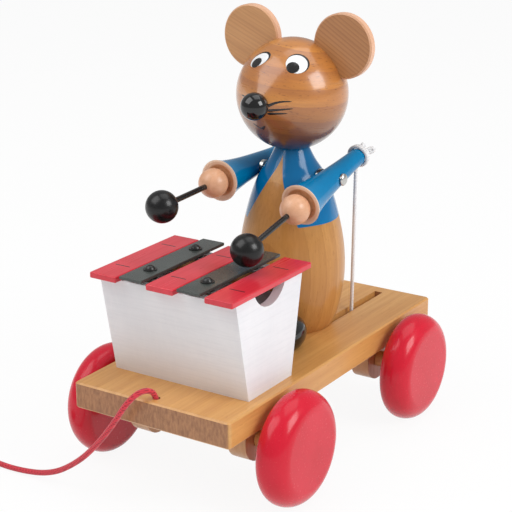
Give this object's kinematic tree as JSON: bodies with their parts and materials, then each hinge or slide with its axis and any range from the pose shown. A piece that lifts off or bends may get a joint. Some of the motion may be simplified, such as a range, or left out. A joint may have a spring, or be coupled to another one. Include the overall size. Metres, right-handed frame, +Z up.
{
  "type": "pull-along xylophone mouse",
  "caption": "Wooden pull-along mouse with big round ears that beats a small xylophone with two mallets when the cart rolls.",
  "frame": {"origin": "on the floor, middle of the toy's plan (wheels and board, without the pull cord)", "axes": "+Z up, -Y is forward (the way it is pulled and the way the mouse looks), +X is the mouse's left"},
  "size_m": [0.2035, 0.258, 0.2307],
  "materials": {
    "beech": "satin clear varnish",
    "honey_wood": "gloss varnish",
    "red_wood": "gloss red paint on wood",
    "white_wood": "satin white paint",
    "blue_wood": "gloss blue paint on wood",
    "black_wood": "gloss black paint on wood",
    "red_gloss": "high gloss",
    "black_metal": "satin black",
    "steel": "bright",
    "felt": "grey felt",
    "white_string": "braided",
    "red_cord": "braided"
  },
  "bodies": {
    "chassis": {"bar_felts": "felt", "bar_screws": "black_metal", "bar_staples": "black_metal", "bar_washers": "steel", "base_board": "beech", "bead_knot": "red_cord", "board_knot": "red_cord", "body_screw": "steel", "box_back": "white_wood", "box_floor": "white_wood", "box_front": "white_wood", "box_left": "white_wood", "box_right": "white_wood", "box_screws": "steel", "cord_tie": "red_cord", "drive_string_left": "white_string", "drive_string_right": "white_string", "ear_left": "honey_wood", "ear_right": "honey_wood", "foot_left": "black_wood", "foot_right": "black_wood", "front_left_block": "beech", "front_right_block": "beech", "head": "honey_wood", "metal_bar_2": "black_metal", "metal_bar_4": "black_metal", "mouse_body": "honey_wood", "neck_peg": "beech", "nose": "black_wood", "pull_bead": "beech", "pull_cord": "red_cord", "pull_cord_coil": "red_cord", "rear_left_block": "beech", "rear_right_block": "beech", "shoulder_caps": "steel", "shoulder_pin": "steel", "shoulder_washers": "steel", "support_rails": "beech", "wood_bar_1": "red_wood", "wood_bar_3": "red_wood", "wood_bar_5": "red_wood"},
    "front_wheelset": {"front_axle": "steel", "front_wheel_left": "red_gloss", "front_wheel_right": "red_gloss", "front_spacers": "beech"},
    "rear_wheelset": {"rear_crank_axle": "steel", "rear_wheel_left": "red_gloss", "rear_wheel_right": "red_gloss", "rear_spacers": "beech", "crank_loops": "white_string"},
    "left_arm": {"left_sleeve": "blue_wood", "left_hand": "beech", "left_stick": "black_wood", "left_mallet": "black_wood", "left_string_knot": "white_string"},
    "right_arm": {"right_sleeve": "blue_wood", "right_hand": "beech", "right_stick": "black_wood", "right_mallet": "black_wood", "right_string_knot": "white_string"}
  },
  "joints": [
    {"name": "front_axle_spin", "type": "hinge", "parent": "chassis", "child": "front_wheelset", "pos_m": [0, -0.062, 0.03], "axis": [1, 0, 0], "continuous": true},
    {"name": "rear_axle_spin", "type": "hinge", "parent": "chassis", "child": "rear_wheelset", "pos_m": [0, 0.063, 0.03], "axis": [1, 0, 0], "continuous": true},
    {"name": "left_arm_swing", "type": "hinge", "parent": "chassis", "child": "left_arm", "pos_m": [0.0252, 0.0285, 0.143], "axis": [-1, 0, 0], "range_deg": [-1.5, 10.8], "deforming": ["drive_string_left"]},
    {"name": "right_arm_swing", "type": "hinge", "parent": "chassis", "child": "right_arm", "pos_m": [-0.0252, 0.0285, 0.143], "axis": [-1, 0, 0], "range_deg": [-10.8, 1.5], "deforming": ["drive_string_right"]}
  ],
  "couplings": [
    {"joint": "right_arm_swing", "follows": "left_arm_swing", "ratio": -1}
  ]
}
